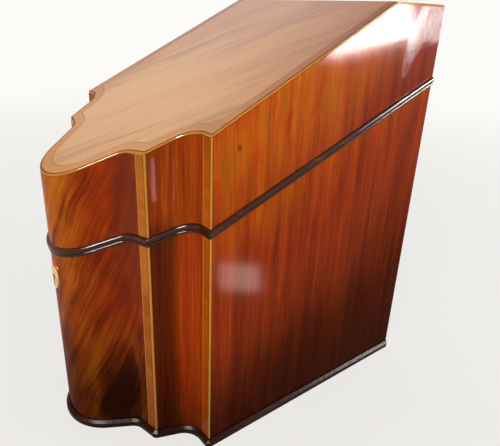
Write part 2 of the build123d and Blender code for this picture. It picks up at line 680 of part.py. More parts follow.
save(upright(BOW_PLAN, LID), "lid_bow_veneer")
save(upright(COVES_PLAN, LID), "lid_cove_veneers")
save(upright(BAND_PLAN, LID), "lid_front_crossbanding")
save(upright(LINE_PLAN, LID), "lid_front_lines")
save(upright(OUTER_STRING_PLAN, LID), "lid_outer_stringing")
save(upright(INNER_STRING_PLAN, LID), "lid_inner_stringing")
save(upright(ring(STRING, STRING + BAND), TOP_SKIN), "lid_top_crossbanding")
save(upright(ring(STRING + BAND, STRING + BAND + LINE), TOP_SKIN), "lid_top_line")
FIELD = open_inset(STRING + BAND + LINE)
save(upright(depth_band(FIELD, FAR_FRONT, RIDGE), TOP_SKIN), "lid_top_veneer")
save(upright(depth_band(FIELD, RIDGE, FAR_BACK), TOP_SKIN), "lid_rear_veneer")
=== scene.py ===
"""Finishes and studio for a serpentine-front knife box.

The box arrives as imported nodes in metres: the front faces -Y, +Z is up and the underside rests at
z = 0. The operators polish the woods, lay the dark line of the top, stain the mouldings, dress
the brass, the iron and the baize, and set up the studio.
"""

import math

import bmesh
import bpy
from bpy.props import FloatProperty, FloatVectorProperty, PointerProperty
from mathutils import Matrix, Vector


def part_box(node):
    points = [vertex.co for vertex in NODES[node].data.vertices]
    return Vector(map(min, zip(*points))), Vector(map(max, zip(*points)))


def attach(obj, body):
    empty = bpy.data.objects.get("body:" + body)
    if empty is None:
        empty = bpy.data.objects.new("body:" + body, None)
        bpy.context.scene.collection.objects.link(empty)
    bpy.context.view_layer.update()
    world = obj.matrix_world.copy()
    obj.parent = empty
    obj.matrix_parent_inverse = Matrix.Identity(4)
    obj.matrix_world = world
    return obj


bl_info = {
    "name": "Knife Box Finishes",
    "version": (1, 0, 0),
    "blender": (4, 5, 0),
    "location": "3D View > Sidebar > Knife Box",
    "description": "Polished woods, stringing, brass and a studio for a serpentine-front knife box",
    "category": "Object",
}

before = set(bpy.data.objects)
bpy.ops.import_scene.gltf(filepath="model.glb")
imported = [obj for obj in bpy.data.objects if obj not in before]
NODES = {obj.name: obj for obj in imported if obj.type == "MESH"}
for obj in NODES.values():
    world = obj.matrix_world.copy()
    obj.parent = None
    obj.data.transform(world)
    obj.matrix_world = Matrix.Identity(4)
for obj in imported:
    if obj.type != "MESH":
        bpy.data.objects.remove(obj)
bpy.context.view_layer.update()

# ---- Places on the box, in metres ------------------------------------------------------------
HALF_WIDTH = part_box("right_side")[1].x         # flat side, from the middle plane
CORNER_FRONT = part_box("outer_stringing")[0].y  # line of the front corners
BOW_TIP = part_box("bow_veneer")[0].y
INNER_ARRIS = (0.07073, -0.15715)              # plan place of the inner arris on the right
BAND_SPLIT = 0.085                             # between the inner and the outer crossbanding
KNOT_Y, KNOT_Z = -0.1007, 0.2665               # knot on the right side of the lid
KNOT_CORE, KNOT_RIM = 0.0012, 0.0042           # its dark core and where it ends
SLOPE_STRETCH = 1.12                           # the slope of the lid is longer than its plan

# ---- Workshop measures -----------------------------------------------------------------------
WELD = 0.00001                                 # points nearer than this are joined, in metres
ESCUTCHEON_ROUND = 0.0003
WORN_ANGLE = math.radians(40)                  # edges that turn by more are worn round
WORN_SEGMENTS = 3
POLISH_RELIEF, BRASS_RELIEF, BAIZE_RELIEF = 0.0004, 0.0003, 0.0006
FLAME_LEAN, TOP_LEAN = math.radians(24), math.radians(30)
SLOPE_BOARDS = 5

# ---- Casts: factors on the red, green and blue of a wood -------------------------------------
OLIVE_CAST = (0.80, 1.12, 0.80)
EMBER_CAST = (0.82, 0.60, 0.60)
# Painted shade: darkens the back corner of the lid's sides
BACK_CORNER_SHADE = (0.62, 0.30, 0.40)               # back corner of the lid's sides
TOP_BACK_CAST = (0.62, 0.42, 0.31)
BAND_BACK_CAST = (0.58, 0.42, 0.34)
RED_BAND_CAST = (0.95, 0.48, 0.30)

# ---- Second tints, mixed into the colours of the settings ------------------------------------
GOLD = (0.560, 0.165, 0.006)                   # middle of the bow
BOW_SHADOW = (0.135, 0.022, 0.010)
WARM_EDGE = (0.560, 0.190, 0.060)              # left edge of the top
SUNNED = (0.900, 0.400, 0.110)                 # front of the banding round the top
HONEY = (0.46, 0.15, 0.015)                    # darker boxwood
RUBBED = (0.120, 0.034, 0.012)                 # worn places on the mouldings
FADED_EBONY = (0.15, 0.06, 0.02)
SLOPE_LIGHT = (0.36, 0.115, 0.045)
RUST = (0.12, 0.08, 0.055)

# ---- Lamp and floor --------------------------------------------------------------------------
NEUTRAL, SOFT_WHITE = (1.0, 0.99, 0.98), (1.0, 0.98, 0.96)
WARM_WHITE, SHEEN_WHITE = (1.0, 0.97, 0.93), (1.0, 0.96, 0.92)
ROSE, COLD_WHITE = (1.0, 0.84, 0.78), (0.95, 0.92, 1.0)
FLOOR_RADIUS, FLOOR_SEGMENTS = 14.0, 96
FLOOR_NEAR, FLOOR_FAR = 0.35, 2.2              # where the paint starts to glow and glows in full
SENSOR_WIDTH = 36.0                            # millimetres


# ---- Settings --------------------------------------------------------------------------------
def colour(name, description, value):
    return FloatVectorProperty(name=name, description=description, default=value,
                               subtype="COLOR", size=3, min=0.0, max=1.0)


def length(name, description, value):
    return FloatProperty(name=name, description=description, default=value,
                         unit="LENGTH", min=0.0, precision=5)


def strength(name, description, value):
    return FloatProperty(name=name, description=description, default=value, min=0.0)


class KnifeBoxWoods(bpy.types.PropertyGroup):
    """Colours of the timbers, from the shadowed to the bright part of the figure."""

    amber_dark: colour("Amber dark", "Dark streaks of the golden mahogany", (0.310, 0.043, 0.001))
    amber_mid: colour("Amber", "Golden mahogany of the lid", (0.500, 0.082, 0.001))
    amber_light: colour("Amber light", "Bright streaks of the golden mahogany",
                        (0.680, 0.155, 0.003))
    red_dark: colour("Red dark", "Dark streaks of the red mahogany", (0.110, 0.009, 0.001))
    red_mid: colour("Red", "Red mahogany of the body", (0.255, 0.024, 0.001))
    red_light: colour("Red light", "Bright streaks of the red mahogany", (0.400, 0.050, 0.002))
    flame_dark: colour("Flame dark", "Dark flames of the bow", (0.095, 0.012, 0.001))
    flame_mid: colour("Flame", "Flame veneer of the bow", (0.340, 0.042, 0.001))
    flame_light: colour("Flame light", "Bright flames of the bow", (0.600, 0.130, 0.005))
    # Painted shade: a cast multiplied into the woods low down, towards the back and in the coves'
    # hollows
    painted_shade_tint: colour("Painted shade", "Shade painted towards the foot, the back and the hollows", (0.320, 0.370, 0.270))
    faded_dark: colour("Faded dark", "Dark streaks of the faded top", (0.440, 0.170, 0.055))
    faded_mid: colour("Faded", "Faded mahogany of the top", (0.790, 0.390, 0.145))
    faded_light: colour("Faded light", "Bright streaks of the faded top", (0.890, 0.480, 0.195))
    banding_dark: colour("Banding dark", "Dark fibres of the crossbanding", (0.300, 0.072, 0.006))
    banding_light: colour("Banding light", "Bright fibres of the crossbanding",
                          (0.560, 0.165, 0.018))
    boxwood: colour("Boxwood", "Stringing and thin lines", (0.640, 0.270, 0.030))
    ebony: colour("Ebony", "Dark lines beside the stringing", (0.085, 0.024, 0.006))
    bead: colour("Bead", "Stained mouldings", (0.050, 0.013, 0.005))
    pine: colour("Pine", "Unpolished ground of the walls", (0.520, 0.350, 0.185))
    plain_back: colour("Plain back", "Stained back boards", (0.170, 0.060, 0.026))


class KnifeBoxFittings(bpy.types.PropertyGroup):
    """Metals, cloth and the sizes of the fine inlay."""

    brass: colour("Brass", "Lacquered brass", (0.780, 0.560, 0.240))
    tarnish: colour("Tarnish", "Dull brown in the brass", (0.300, 0.170, 0.060))
    iron: colour("Iron", "Lock and screws", (0.360, 0.345, 0.325))
    baize: colour("Baize", "Green cloth on the floor", (0.020, 0.085, 0.040))
    line_inset: length("Line inset", "Light string on either side of the dark line", 0.00065)
    line_proud: length("Line proud", "How far the dark line stands above the string", 0.00003)
    line_depth: length("Line depth", "How deep the dark line is let in", 0.0003)
    arris_line: length("Arris line", "Light string at an arris, as far as its dark line", 0.00110)
    edge_round: length("Worn edge", "Rounding of the arrises", 0.0005)
    top_round: length("Worn top edge", "Rounding of the string round the top", 0.0009)


class KnifeBoxStudio(bpy.types.PropertyGroup):
    """Camera, lamps, floor and surroundings."""

    camera_place: FloatVectorProperty(name="Camera", description="Place of the camera", size=3,
                                      default=(0.3784, -0.3099, 0.3548), subtype="TRANSLATION")
    heading: FloatProperty(name="Heading", description="Turn of the camera from the front",
                           default=math.radians(50.803), subtype="ANGLE")
    pitch: FloatProperty(name="Pitch", description="Tilt of the camera below level",
                         default=math.radians(23.016), subtype="ANGLE")
    roll: FloatProperty(name="Roll", description="Turn of the camera about its line of sight",
                        default=math.radians(2.48), subtype="ANGLE")
    lens: FloatProperty(name="Lens", description="Focal length on a 36 mm sensor", default=35.62,
                        min=1.0)
    floor: colour("Floor", "Pale floor", (0.78, 0.78, 0.775))
    surroundings: colour("Surroundings", "Light from all round", (1.0, 0.985, 0.96))
    ambient: strength("Ambient", "Strength of the surroundings", 0.46)
    background: strength("Background", "Brightness of the surroundings as they are seen", 0.98)
    key: strength("Key lamp", "Power of the lamp in front, in watts", 14.0)
    sheen: strength("Sheen lamp", "Power of the wide lamp that the top reflects, in watts", 1.8)
    window: strength("Window lamp", "Power of the lamp that the side reflects, in watts", 24.0)
    card: strength("Card", "Power of the small card low beside the box, in watts", 0.140)
    strip: strength("Strip", "Power of the thin strip that the cove reflects, in watts", 0.020)
    glints: strength("Glints", "Power of the lamps that show only in reflections, in watts", 220.0)


class KnifeBoxSettings(bpy.types.PropertyGroup):
    """All settings of the knife box."""

    woods: PointerProperty(type=KnifeBoxWoods)
    fittings: PointerProperty(type=KnifeBoxFittings)
    studio: PointerProperty(type=KnifeBoxStudio)


# ---- Shader expressions ----------------------------------------------------------------------
class Shade:
    """A shader socket that takes part in Python arithmetic."""

    def __init__(self, finish, socket):
        self.finish = finish
        self.socket = socket

    def math(self, operation, *values):
        return self.finish.node("ShaderNodeMath", {"operation": operation},
                                dict(enumerate(values)))

    def __add__(self, other):
        return self.math("ADD", self, other)

    def __radd__(self, other):
        return self.math("ADD", other, self)

    def __sub__(self, other):
        return self.math("SUBTRACT", self, other)

    def __rsub__(self, other):
        return self.math("SUBTRACT", other, self)

    def __mul__(self, other):
        return self.math("MULTIPLY", self, other)

    def __rmul__(self, other):
        return self.math("MULTIPLY", other, self)

    def __truediv__(self, other):
        return self.math("DIVIDE", self, other)

    def __pow__(self, other):
        return self.math("POWER", self, other)

    def __lt__(self, other):
        return self.math("LESS_THAN", self, other)

    def __gt__(self, other):
        return self.math("GREATER_THAN", self, other)

    def __abs__(self):
        return self.math("ABSOLUTE", self)

    def floor(self):
        return self.math("FLOOR", self)


class Finish:
    """A material whose nodes come from Python expressions."""

    def __init__(self, name):
        self.material = bpy.data.materials.new(name)
        self.material.use_nodes = True
        self.tree = self.material.node_tree
        self.tree.nodes.clear()
        place = self.node("ShaderNodeTexCoord", output="Object")
        parts = self.node("ShaderNodeSeparateXYZ", inputs={0: place}).socket.node
        self.x, self.y, self.z = (Shade(self, socket) for socket in parts.outputs)

    def node(self, kind, options=None, inputs=None, output=0):
        """A node of the given kind: its options first, then the values or links of its inputs."""
        made = self.tree.nodes.new(kind)
        for name, value in (options or {}).items():
            if name == "stops":
                made.color_ramp.elements[1].position = 1.0
                for position, stop in value[1:-1]:
                    made.color_ramp.elements.new(position).color = (*stop, 1.0)
                for element, (position, stop) in zip(made.color_ramp.elements, value):
                    element.position = position
                    element.color = (*stop, 1.0)
            else:
                setattr(made, name, value)
        for name, value in (inputs or {}).items():
            if isinstance(value, Shade):
                self.tree.links.new(value.socket, made.inputs[name])
            else:
                made.inputs[name].default_value = value
        return Shade(self, made.outputs[output])

    def vector(self, x, y, z):
        return self.node("ShaderNodeCombineXYZ", inputs={0: x, 1: y, 2: z})

    def noise(self, x, y, z, detail=2.0, roughness=0.5):
        return self.node("ShaderNodeTexNoise", inputs={
            "Vector": self.vector(x, y, z), "Scale": 1.0, "Detail": detail,
            "Roughness": roughness})

    def chance(self, value):
        """One random number from 0 to 1 for each value."""
        return self.node("ShaderNodeTexWhiteNoise", {"noise_dimensions": "1D"}, {"W": value})

    def step(self, value, low, high):
        """0 below low, 1 above high and smooth in between."""
        return self.node("ShaderNodeMapRange", {"interpolation_type": "SMOOTHSTEP"},
                         {"Value": value, "From Min": low, "From Max": high})

    def ramp(self, tone, stops):
        return self.node("ShaderNodeValToRGB", {"stops": stops}, {"Fac": tone})

    def mix(self, factor, first, second, kind="MIX"):
        return self.node("ShaderNodeMix", {"data_type": "RGBA", "blend_type": kind},
                         {0: factor, 6: opaque(first), 7: opaque(second)}, output=2)

    def shade_by(self, tint, factor):
        """A colour made darker or lighter by a factor."""
        return self.node("ShaderNodeVectorMath", {"operation": "SCALE"},
                         {0: tint, "Scale": factor})

    def cast(self, tint, factors):
        """A colour whose red, green and blue are each multiplied."""
        return self.mix(1.0, tint, factors, "MULTIPLY")

    def in_painted_shade(self, tint, woods):
        """The same wood darkened by painted shade."""
        return self.cast(tint, woods.painted_shade_tint)

    def finish_with(self, base, roughness, height=None, relief=0.0001, **constants):
        """The surface itself. Constants are the names of the shader's own sockets."""
        linked = {"Base Color": opaque(base), "Roughness": roughness}
        if height is not None:
            linked["Normal"] = self.node("ShaderNodeBump", inputs={
                "Strength": 1.0, "Distance": relief, "Height": height})
        constants = {name.replace("_", " "): value for name, value in constants.items()}
        shader = self.node("ShaderNodeBsdfPrincipled", inputs={**linked, **constants})
        self.node_output(shader)
        return self.material

    def node_output(self, shader):
        made = self.tree.nodes.new("ShaderNodeOutputMaterial")
        self.tree.links.new(shader.socket, made.inputs["Surface"])


def opaque(tint):
    """A plain colour as four numbers; links pass through."""
    return tint if isinstance(tint, Shade) else (*tint, 1.0)


def figure(finish, across, along, depth, ribbon=0.014, wander=0.006, reach=0.3):
    """Tone of straight-grained wood: ribbons, streaks and fibres drawn out along the grain."""
    drift = finish.noise(across / 0.06, along / 0.14, depth / 0.05)
    bent = across + (drift - 0.5) * wander
    ribbons = finish.noise(bent / ribbon, along / reach, depth / 0.02)
    streaks = finish.noise(bent / (ribbon / 5), along / (reach / 3), depth / 0.01, 3.0, 0.6)
    fibres = finish.noise(bent / 0.0007, along / 0.02, depth / 0.003)
    return 0.44 * ribbons + 0.34 * streaks + 0.22 * fibres


def pores(finish, across, along, depth):
    """Short open pores: 1 in a pore, 0 beside it."""
    return finish.step(finish.noise(across / 0.00045, along / 0.006, depth / 0.001), 0.60, 0.70)


def timber(finish, tone, dark, mid, light, low=0.34, high=0.66):
    """Colour of the wood from its tone."""
    return finish.ramp(tone, [(low, dark), ((low + high) / 2, mid), (high, light)])


POLISH = dict(Coat_Roughness=0.05, Coat_IOR=1.25, Specular_IOR_Level=0.0)
DULL, GLOSSY = 0.12, 0.38                      # coat of the dark foot and of the rest


def apply(material, *names):
    """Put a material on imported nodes."""
    for name in names:
        NODES[name].material_slots[0].material = material


def soften(width, *names):
    """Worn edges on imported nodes, whose triangles are joined first."""
    for name in names:
        piece = NODES[name]
        weld = piece.modifiers.new("Joined", "WELD")
        weld.merge_threshold = WELD
        bevel = piece.modifiers.new("Worn edge", "BEVEL")
        bevel.limit_method = "ANGLE"
        bevel.angle_limit = WORN_ANGLE
        bevel.width = width
        bevel.segments = WORN_SEGMENTS
        bevel.use_clamp_overlap = True
        bevel.harden_normals = True


def settings(context):
    return context.scene.knife_box


# ---- Woods -----------------------------------------------------------------------------------
def side_polish(woods, name, lid):
    """Golden mahogany above that turns red, then dark with painted shade, towards the foot and the
    back.
    """
    finish = Finish(name)
    x, y, z = finish.x, finish.y, finish.z
    tone = figure(finish, y, z, x, ribbon=0.009, reach=0.16)
    amber = timber(finish, tone, woods.amber_dark, woods.amber_mid, woods.amber_light, 0.33, 0.67)
    red = timber(finish, tone, woods.red_dark, woods.red_mid, woods.red_light, 0.33, 0.67)
    cloud = finish.noise(y / 0.07, z / 0.10, x / 0.1) - 0.5
    mottle = finish.noise(y / 0.016, z / 0.045, x / 0.1 + 4.0, 3.0, 0.55)
    olive = finish.cast(amber, OLIVE_CAST)
    amber = finish.mix(finish.step(mottle, 0.44, 0.62), amber, olive)
    embers = finish.cast(amber, EMBER_CAST)
    amber = finish.mix(0.75 * finish.step(1.0 - mottle, 0.50, 0.66), amber, embers)
    high = z - 0.5 * (y - CORNER_FRONT) + 0.07 * cloud
    golden = finish.step(high, 0.16, 0.28) if lid else 0.8 * finish.step(high, 0.14, 0.24)
    base = finish.mix(golden, red, amber)
    # Painted shade: darker low down and towards the back, and darker still at the foot
    base = finish.mix(finish.step(high, -0.03, 0.18), finish.in_painted_shade(base, woods), base)
    foot = finish.step(z - 0.10 * (y - CORNER_FRONT) + 0.05 * cloud, -0.03, 0.13)
    base = finish.shade_by(base, 0.34 + 0.66 * foot)
    if lid:
        # Painted shade towards the back corner of the lid's sides
        to_back = finish.step(y - 0.5 * (z - 0.30) + 0.04 * cloud, 0.005, 0.085)
        corner = finish.cast(base, BACK_CORNER_SHADE)
        base = finish.mix(0.85 * to_back, base, corner)
    knot = finish.noise(y / 0.004, z / 0.006, 0.0) * 0.0016
    from_knot = ((y - KNOT_Y) ** 2.0 + ((z - KNOT_Z) * 0.7) ** 2.0) ** 0.5 + knot
    is_knot = (1.0 - finish.step(from_knot, KNOT_CORE, KNOT_RIM)) * (x > 0.0)
    base = finish.shade_by(base, 1.0 - 0.60 * is_knot)
    dark_pores = pores(finish, y, z, x)
    base = finish.shade_by(base, 1.0 - 0.25 * dark_pores)
    if not lid:
        gloss = DULL + (GLOSSY - DULL) * finish.step(high, -0.02, 0.14)
        return finish.finish_with(base, 0.30, Coat_Weight=gloss,
                                  **dict(POLISH, Coat_Roughness=0.12))
    edge = y - 0.45 * (z - 0.33)
    smooth_again = finish.step(edge, 0.090, 0.104) * (1.0 - finish.step(z, 0.328, 0.345))
    crazed = finish.step(edge, 0.073, 0.092) * (1.0 - 0.9 * smooth_again)
    streaky = finish.noise(y / 0.0016, z / 0.0065, x / 0.002, 3.0, 0.65)
    peel = finish.noise(y / 0.0035, z / 0.006, x / 0.006, 3.0, 0.6)
    height = 0.07 * peel + crazed * 0.7 * streaky - 0.01 * dark_pores
    return finish.finish_with(base, 0.09, height, POLISH_RELIEF, IOR=1.17)


def flame_polish(woods):
    """A feather of bright flames that rise outwards from the middle of the bow."""
    finish = Finish("flame_veneer")
    x, y, z = finish.x, finish.y, finish.z
    aside = abs(x) * (1.0 + 8.0 * (y - BOW_TIP))
    drift = finish.noise(x / 0.03, z / 0.05, 0.1) - 0.5
    across = aside * math.cos(FLAME_LEAN) - z * math.sin(FLAME_LEAN) + 0.010 * drift
    along = aside * math.sin(FLAME_LEAN) + z * math.cos(FLAME_LEAN)
    flames = finish.noise(across / 0.0060, along / 0.085, 0.3, 2.0, 0.5)
    streaks = finish.noise(across / 0.0018, along / 0.045, 0.8, 3.0, 0.6)
    broad = finish.noise(x / 0.022, z / 0.040, y / 0.05 + 2.0)
    tone = 0.38 * flames + 0.30 * streaks + 0.32 * broad
    dome = (((aside - 0.054) / 0.019) ** 2.0 + ((z - 0.030) / 0.066) ** 2.0) ** 0.5 + 0.5 * drift
    rim = finish.step(dome, 0.90, 1.12) * (1.0 - finish.step(dome, 1.15, 1.6))
    tone = tone + 0.07 * rim - 0.14 * (1.0 - finish.step(dome, 0.6, 1.1))
    base = timber(finish, tone, woods.flame_dark, woods.flame_mid, woods.flame_light, 0.35, 0.65)
    warm = finish.noise(x / 0.035, z / 0.06, y / 0.05)
    red = timber(finish, tone, woods.red_dark, woods.red_mid, woods.red_light)
    reddish = finish.step(warm + 9.0 * (aside - 0.030), 0.38, 0.62) * finish.step(z, 0.07, 0.12)
    base = finish.mix(0.90 * reddish, base, finish.shade_by(red, 1.18))
    gold = (1.0 - finish.step(aside, 0.020, 0.045)) * finish.step(z, 0.08, 0.16)
    base = finish.mix(0.70 * gold * finish.step(tone, 0.35, 0.65), base, GOLD)
    base = finish.shade_by(base, 0.92 + 0.12 * finish.step(z, 0.17, 0.23))
    shadow = finish.step(aside, 0.050, 0.060) * finish.step(z + 0.02 * drift, 0.12, 0.20)
    base = finish.mix(0.60 * shadow, base, BOW_SHADOW)
    low = z + 0.05 * (warm - 0.5) + 0.25 * aside * drift
    # Painted shade: darker towards the foot
    base = finish.mix(finish.step(low, 0.02, 0.18), finish.in_painted_shade(base, woods), base)
    base = finish.shade_by(base, 0.72 + 0.28 * finish.step(low, 0.01, 0.13))
    base = finish.shade_by(base, 1.0 - 0.20 * pores(finish, across, along, y))
    gloss = DULL + (GLOSSY - DULL) * finish.step(low, 0.02, 0.15)
    return finish.finish_with(base, 0.28, Coat_Weight=gloss, **POLISH)


def cove_polish(woods):
    """Upright grain, with painted shade in the hollow beside the inner arris and towards the foot,
    and painted light on the outer part of the body's cove.
    """
    finish = Finish("cove_veneer")
    x, y, z = finish.x, finish.y, finish.z
    tone = figure(finish, x * 0.7 + y * 0.7 * (1.0 - 2.0 * (x < 0.0)), z, 0.4, ribbon=0.008)
    flame = timber(finish, tone, woods.flame_dark, woods.flame_mid, woods.flame_light, 0.30, 0.70)
    red = timber(finish, tone, woods.red_dark, woods.red_mid, woods.red_light, 0.30, 0.70)
    lid = finish.step(z, 0.19, 0.22)
    outward = finish.step(abs(x), 0.0765, 0.0805)
    base = finish.mix(0.25 + 0.70 * lid, red, flame)
    # Painted light: the outer part of the body's cove is made lighter
    base = finish.shade_by(base, 1.0 + 0.25 * outward * (1.0 - lid))
    # Painted shade in the hollow beside the inner arris
    hollow = (1.0 - outward) * (0.85 - 0.80 * lid)
    base = finish.mix(hollow, base, finish.in_painted_shade(base, woods))
    # Painted shade: darker towards the foot
    low = z + 0.5 * (abs(x) - INNER_ARRIS[0])
    base = finish.mix(finish.step(low, -0.02, 0.11), finish.in_painted_shade(base, woods), base)
    base = finish.shade_by(base, 0.80 + 0.20 * finish.step(low, 0.0, 0.14))
    base = finish.shade_by(base, 1.0 - 0.20 * pores(finish, x, z, y))
    gloss = DULL + (GLOSSY - DULL) * finish.step(z, 0.05, 0.19)
    return finish.finish_with(base, 0.28, Coat_Weight=gloss, **POLISH)


def top_polish(woods):
    """Faded veneer with soft slanting streaks, browner towards the back."""
    finish = Finish("faded_top")
    x, y, z = finish.x, finish.y, finish.z
    swirl = finish.noise(x / 0.10, y / 0.14, 0.7) - 0.5
    knots = finish.noise(x / 0.035, y / 0.050, 1.3) - 0.5
    at_back = finish.step(y, -0.04, 0.06)
    across = x * math.cos(TOP_LEAN) - y * SLOPE_STRETCH * math.sin(TOP_LEAN) + 0.022 * swirl
    across = across + 0.030 * at_back * knots
    along = x * math.sin(TOP_LEAN) + y * SLOPE_STRETCH * math.cos(TOP_LEAN)
    broad = finish.noise(across / 0.030, along / 0.20, 0.2)
    streaks = finish.noise(across / 0.0065, along / 0.14, 1.4, 3.0, 0.6)
    fine = finish.noise(across / 0.0014, along / 0.05, 2.4, 2.0, 0.6)
    tone = 0.42 * broad + 0.38 * streaks + 0.20 * fine - 0.06 * at_back * knots
    faded = timber(finish, tone, woods.faded_dark, woods.faded_mid, woods.faded_light, 0.32, 0.68)
    brown = finish.cast(faded, TOP_BACK_CAST)
    cloud = finish.noise(x / 0.06, y / 0.10, 0.0) - 0.5
    to_back = y + 0.5 * abs(x + 0.02) + 0.10 * cloud
    base = finish.mix(finish.step(to_back, -0.11, 0.10), faded, brown)
    warm_edge = finish.step(0.03 * cloud - x, 0.060, 0.105)
    base = finish.mix(0.7 * warm_edge, base, WARM_EDGE)
    base = finish.shade_by(base, 1.0 - 0.15 * pores(finish, across, along, z))
    peel = finish.noise(x / 0.005, y / 0.005, z / 0.005)
    return finish.finish_with(base, 0.36, 0.05 * peel, POLISH_RELIEF, Coat_Weight=0.85,
                              **dict(POLISH, Coat_Roughness=0.28, Coat_IOR=1.34))


def band_colours(finish, woods, across, along, depth, patch):
    """Short-grained banding cut in lengths, each with its own tone."""
    length_tone = finish.chance(patch.floor())
    fibres = finish.noise(across / 0.0013, along / 0.02, depth, 3.0, 0.6)
    broad = finish.noise(across / 0.008, along / 0.04, depth)
    tone = 0.44 * fibres + 0.34 * broad + 0.22 * length_tone
    return finish.ramp(tone, [(0.28, woods.banding_dark), (0.66, woods.banding_light)])


def front_band_polish(woods):
    """Crossbanding beside the arrises of the front, its grain level."""
    finish = Finish("front_crossbanding")
    x, y, z = finish.x, finish.y, finish.z
    wavy = z + 0.0015 * finish.noise(x / 0.01, z / 0.02, 0.0)
    patch = z / 0.072 + (abs(x) > BAND_SPLIT) * 7.4
    slanting = wavy + 0.35 * abs(x)
    base = band_colours(finish, woods, slanting, x, y / 0.01, patch)
    red = finish.cast(base, RED_BAND_CAST)
    outer = 0.55 * (abs(x) > BAND_SPLIT) + 0.45 * (1.0 - finish.step(z, 0.02, 0.20))
    base = finish.mix(outer, base, red)
    # Painted shade: darker towards the foot
    base = finish.shade_by(base, 0.55 + 0.45 * finish.step(z, -0.01, 0.12))
    return finish.finish_with(base, 0.28, Coat_Weight=GLOSSY * 0.8, **POLISH)


def top_band_polish(woods):
    """Crossbanding round the top, its grain square to the edge, mitred at the corners."""
    finish = Finish("top_crossbanding")
    x, y, z = finish.x, finish.y, finish.z
    beside = (HALF_WIDTH - abs(x)) < (y - CORNER_FRONT)
    run = beside * y + (1.0 - beside) * x
    reach = beside * x + (1.0 - beside) * y
    base = band_colours(finish, woods, run, reach, z / 0.5, run / 0.085 + beside * 3.3)
    sunned = finish.mix(0.55, base, SUNNED)
    base = finish.mix(finish.step(y, -0.16, -0.06), sunned, base)
    brown = finish.cast(base, BAND_BACK_CAST)
    base = finish.mix(finish.step(y, -0.10, 0.04), base, brown)
    return finish.finish_with(base, 0.30, Coat_Weight=0.8,
                              **dict(POLISH, Coat_Roughness=0.25, Coat_IOR=1.32))


def string_polish(woods, fittings, corner, shine=1.25):
    """Boxwood, with a dark line along the arris where a corner is given."""
    finish = Finish("arris_string" if corner else f"boxwood_line_{shine}")
    x, y, z = finish.x, finish.y, finish.z
    wave = finish.noise(x / 0.004, y / 0.004, z / 0.03, 3.0)
    base = finish.mix(0.5 * wave, woods.boxwood, HONEY)
    if corner:
        outer, inner = (((abs(x) - corner_x) ** 2.0 + (y - corner_y) ** 2.0) ** 0.5
                        for corner_x, corner_y in corner)
        away = finish.node("ShaderNodeMath", {"operation": "MINIMUM"}, {0: outer, 1: inner})
        dark = finish.step(away, fittings.arris_line, fittings.arris_line * 1.15)
        base = finish.mix(dark, base, woods.ebony)
    # Painted shade: darker towards the foot
    base = finish.shade_by(base, 0.60 + 0.40 * finish.step(z, -0.02, 0.14))
    return finish.finish_with(base, 0.30, Coat_Weight=GLOSSY, **dict(POLISH, Coat_IOR=shine))


def bead_polish(woods, name, shine):
    """Dark stained moulding, rubbed paler in places."""
    finish = Finish(name)
    x, y, z = finish.x, finish.y, finish.z
    wear = finish.noise(x / 0.02, y / 0.02, z / 0.01, 3.0, 0.6)
    grain = finish.noise(x / 0.012, y / 0.012, z / 0.0012, 3.0, 0.6)
    base = finish.mix(finish.step(wear, 0.50, 0.78), woods.bead, RUBBED)
    base = finish.shade_by(base, 0.6 + 0.8 * grain)
    # Painted shade: darker towards the foot
    base = finish.shade_by(base, 0.40 + 0.60 * finish.step(z, 0.0, 0.12))
    nicks = finish.noise(x / 0.006, y / 0.006, z / 0.004, 4.0, 0.65)
    rough = 0.06 + 0.10 * wear + 0.17 * (1.0 - finish.step(z, 0.008, 0.05))
    return finish.finish_with(base, rough, 0.45 * nicks, POLISH_RELIEF, IOR=shine)


def plain_wood(name, dark, light, along_axis, ribbon=0.02, roughness=0.55, coat=0.0):
    """Straight-grained wood without figure, its grain along one axis."""
    finish = Finish(name)
    places = {"X": (finish.y, finish.x, finish.z), "Y": (finish.x, finish.y, finish.z),
              "Z": (finish.x, finish.z, finish.y)}
    across, along, depth = places[along_axis]
    tone = figure(finish, across, along, depth * 0.6, ribbon)
    base = finish.ramp(tone, [(0.34, dark), (0.66, light)])
    open_pores = pores(finish, across, along, depth)
    base = finish.shade_by(base, 1.0 - 0.25 * open_pores)
    return finish.finish_with(base, roughness, 0.15 * tone - 0.1 * open_pores, POLISH_RELIEF,
                              Specular_IOR_Level=0.12, Coat_Weight=coat, Coat_Roughness=0.25,
                              Coat_IOR=1.3)


class KNIFEBOX_OT_polish_sides(bpy.types.Operator):
    """Polish the flat sides of the body and the lid"""
    bl_idname = "knife_box.polish_sides"
    bl_label = "Polish Sides"

    def execute(self, context):
        woods = settings(context).woods
        apply(side_polish(woods, "polished_side", False), "left_side", "right_side")
        apply(side_polish(woods, "polished_lid_side", True), "lid_left_side", "lid_right_side")
        return {"FINISHED"}


class KNIFEBOX_OT_polish_front(bpy.types.Operator):
    """Polish the serpentine front: flame veneer on the bow, upright grain in the coves"""
    bl_idname = "knife_box.polish_front"
    bl_label = "Polish Front"

    def execute(self, context):
        woods = settings(context).woods
        apply(flame_polish(woods), "bow_veneer", "lid_bow_veneer")
        apply(cove_polish(woods), "cove_veneers", "lid_cove_veneers")
        return {"FINISHED"}


class KNIFEBOX_OT_polish_top(bpy.types.Operator):
    """Polish the faded top of the lid"""
    bl_idname = "knife_box.polish_top"
    bl_label = "Polish Top"

    def execute(self, context):
        apply(top_polish(settings(context).woods), "lid_top_veneer", "lid_rear_veneer")
        return {"FINISHED"}


